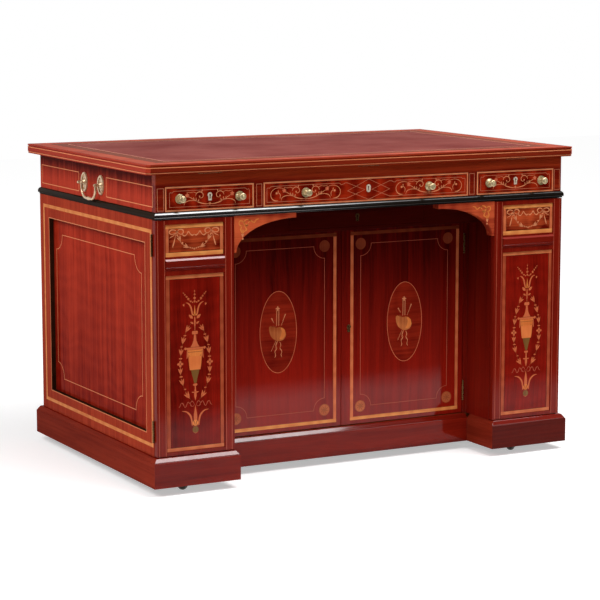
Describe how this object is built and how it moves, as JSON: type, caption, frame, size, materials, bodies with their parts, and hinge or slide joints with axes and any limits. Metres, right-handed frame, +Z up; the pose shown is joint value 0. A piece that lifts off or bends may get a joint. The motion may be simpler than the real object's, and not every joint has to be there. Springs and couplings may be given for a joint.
{
  "type": "architects desk",
  "caption": "Mahogany pedestal desk with a rising ratchet top, frieze drawers, door pedestals, a kneehole plan cupboard and hidden castors.",
  "frame": {"origin": "on the floor under the middle of the desk", "axes": "+Z up, the drawers and doors face -Y, +X to the right of a person who looks at the front"},
  "size_m": [1.192, 0.7635, 0.785],
  "materials": {
    "mahogany": "french polished mahogany",
    "inner_wood": "waxed plain mahogany",
    "ebonised": "polished ebonised wood",
    "satinwood": "polished satinwood",
    "leather": "polished writing leather",
    "brass": "aged brass",
    "iron": "dark iron"
  },
  "bodies": {
    "carcase": {"ratchet_racks": "inner_wood", "frieze_front": "mahogany", "frieze_sides": "mahogany", "frieze_back": "mahogany", "drawer_partitions": "inner_wood", "sub_top": "inner_wood", "waist_moulding": "ebonised", "deck_board": "inner_wood", "side_frames": "mahogany", "side_panels": "mahogany", "back_frame": "mahogany", "back_panels": "mahogany", "inner_sides": "mahogany", "shelves": "inner_wood", "plinth": "mahogany", "floor_board": "inner_wood", "castor_blocks": "inner_wood", "apron": "mahogany", "apron_floor": "inner_wood", "spandrels": "satinwood", "hinge_leaves": "brass", "handle_posts": "brass", "castor_plates": "iron"},
    "top": {"top_slab": "mahogany", "top_leather": "leather", "top_brackets": "brass"},
    "strut": {"easel_strut": "inner_wood"},
    "left_bail": {"left_bail": "brass"},
    "right_bail": {"right_bail": "brass"},
    "left_door": {"left_door": "mahogany", "left_door_panels": "mahogany", "left_door_hinges": "brass"},
    "right_door": {"right_door": "mahogany", "right_door_panels": "mahogany", "right_door_hinges": "brass"},
    "left_plan_door": {"left_plan_door": "mahogany", "left_plan_door_hinges": "brass"},
    "right_plan_door": {"right_plan_door": "mahogany", "right_plan_door_brass": "brass"},
    "apron_drawer": {"apron_drawer_front": "mahogany", "apron_drawer_box": "inner_wood", "apron_drawer_brass": "brass"},
    "left_drawer": {"left_drawer_front": "mahogany", "left_drawer_box": "inner_wood", "left_drawer_brass": "brass"},
    "middle_drawer": {"middle_drawer_front": "mahogany", "middle_drawer_box": "inner_wood", "middle_drawer_brass": "brass"},
    "right_drawer": {"right_drawer_front": "mahogany", "right_drawer_box": "inner_wood", "right_drawer_brass": "brass"},
    "castor_horn_fl": {"castor_horn_fl": "iron"},
    "castor_wheel_fl": {"castor_wheel_fl": "iron"},
    "castor_horn_fr": {"castor_horn_fr": "iron"},
    "castor_wheel_fr": {"castor_wheel_fr": "iron"},
    "castor_horn_bl": {"castor_horn_bl": "iron"},
    "castor_wheel_bl": {"castor_wheel_bl": "iron"},
    "castor_horn_br": {"castor_horn_br": "iron"},
    "castor_wheel_br": {"castor_wheel_br": "iron"}
  },
  "joints": [
    {"name": "top_rise", "type": "hinge", "parent": "carcase", "child": "top", "pos_m": [0, -0.364, 0.761], "axis": [1, 0, 0], "range_deg": [0, 35]},
    {"name": "strut_swing", "type": "hinge", "parent": "top", "child": "strut", "pos_m": [0, -0.034, 0.7555], "axis": [1, 0, 0], "range_deg": [-70, 0]},
    {"name": "left_drawer_slide", "type": "slide", "parent": "carcase", "child": "left_drawer", "axis": [0, -1, 0], "range_m": [0, 0.4]},
    {"name": "middle_drawer_slide", "type": "slide", "parent": "carcase", "child": "middle_drawer", "axis": [0, -1, 0], "range_m": [0, 0.4]},
    {"name": "right_drawer_slide", "type": "slide", "parent": "carcase", "child": "right_drawer", "axis": [0, -1, 0], "range_m": [0, 0.4]},
    {"name": "apron_drawer_slide", "type": "slide", "parent": "carcase", "child": "apron_drawer", "axis": [0, -1, 0], "range_m": [0, 0.28]},
    {"name": "left_door_swing", "type": "hinge", "parent": "carcase", "child": "left_door", "pos_m": [-0.5727, -0.348, 0.37], "axis": [0, 0, -1], "range_deg": [0, 165]},
    {"name": "right_door_swing", "type": "hinge", "parent": "carcase", "child": "right_door", "pos_m": [0.5727, -0.348, 0.37], "axis": [0, 0, 1], "range_deg": [0, 165]},
    {"name": "left_plan_door_swing", "type": "hinge", "parent": "carcase", "child": "left_plan_door", "pos_m": [-0.3545, -0.2428, 0.34], "axis": [0, 0, -1], "range_deg": [0, 85]},
    {"name": "right_plan_door_swing", "type": "hinge", "parent": "carcase", "child": "right_plan_door", "pos_m": [0.3545, -0.2428, 0.34], "axis": [0, 0, 1], "range_deg": [0, 85]},
    {"name": "left_bail_swing", "type": "hinge", "parent": "carcase", "child": "left_bail", "pos_m": [-0.58, 0.01, 0.71], "axis": [0, 1, 0], "range_deg": [0, 95]},
    {"name": "right_bail_swing", "type": "hinge", "parent": "carcase", "child": "right_bail", "pos_m": [0.58, 0.01, 0.71], "axis": [0, -1, 0], "range_deg": [0, 95]},
    {"name": "castor_swivel_fl", "type": "hinge", "parent": "carcase", "child": "castor_horn_fl", "pos_m": [-0.4685, -0.3135, 0.055], "axis": [0, 0, 1], "continuous": true},
    {"name": "castor_roll_fl", "type": "hinge", "parent": "castor_horn_fl", "child": "castor_wheel_fl", "pos_m": [-0.4882, -0.32889, 0.02], "axis": [0.6157, -0.788, 0], "continuous": true},
    {"name": "castor_swivel_fr", "type": "hinge", "parent": "carcase", "child": "castor_horn_fr", "pos_m": [0.4685, -0.3135, 0.055], "axis": [0, 0, 1], "continuous": true},
    {"name": "castor_roll_fr", "type": "hinge", "parent": "castor_horn_fr", "child": "castor_wheel_fr", "pos_m": [0.4488, -0.32889, 0.02], "axis": [0.6157, -0.788, 0], "continuous": true},
    {"name": "castor_swivel_bl", "type": "hinge", "parent": "carcase", "child": "castor_horn_bl", "pos_m": [-0.4685, 0.3135, 0.055], "axis": [0, 0, 1], "continuous": true},
    {"name": "castor_roll_bl", "type": "hinge", "parent": "castor_horn_bl", "child": "castor_wheel_bl", "pos_m": [-0.4882, 0.29811, 0.02], "axis": [0.6157, -0.788, 0], "continuous": true},
    {"name": "castor_swivel_br", "type": "hinge", "parent": "carcase", "child": "castor_horn_br", "pos_m": [0.4685, 0.3135, 0.055], "axis": [0, 0, 1], "continuous": true},
    {"name": "castor_roll_br", "type": "hinge", "parent": "castor_horn_br", "child": "castor_wheel_br", "pos_m": [0.4488, 0.29811, 0.02], "axis": [0.6157, -0.788, 0], "continuous": true}
  ],
  "couplings": [
    {"joint": "strut_swing", "follows": "top_rise", "ratio": -2}
  ]
}
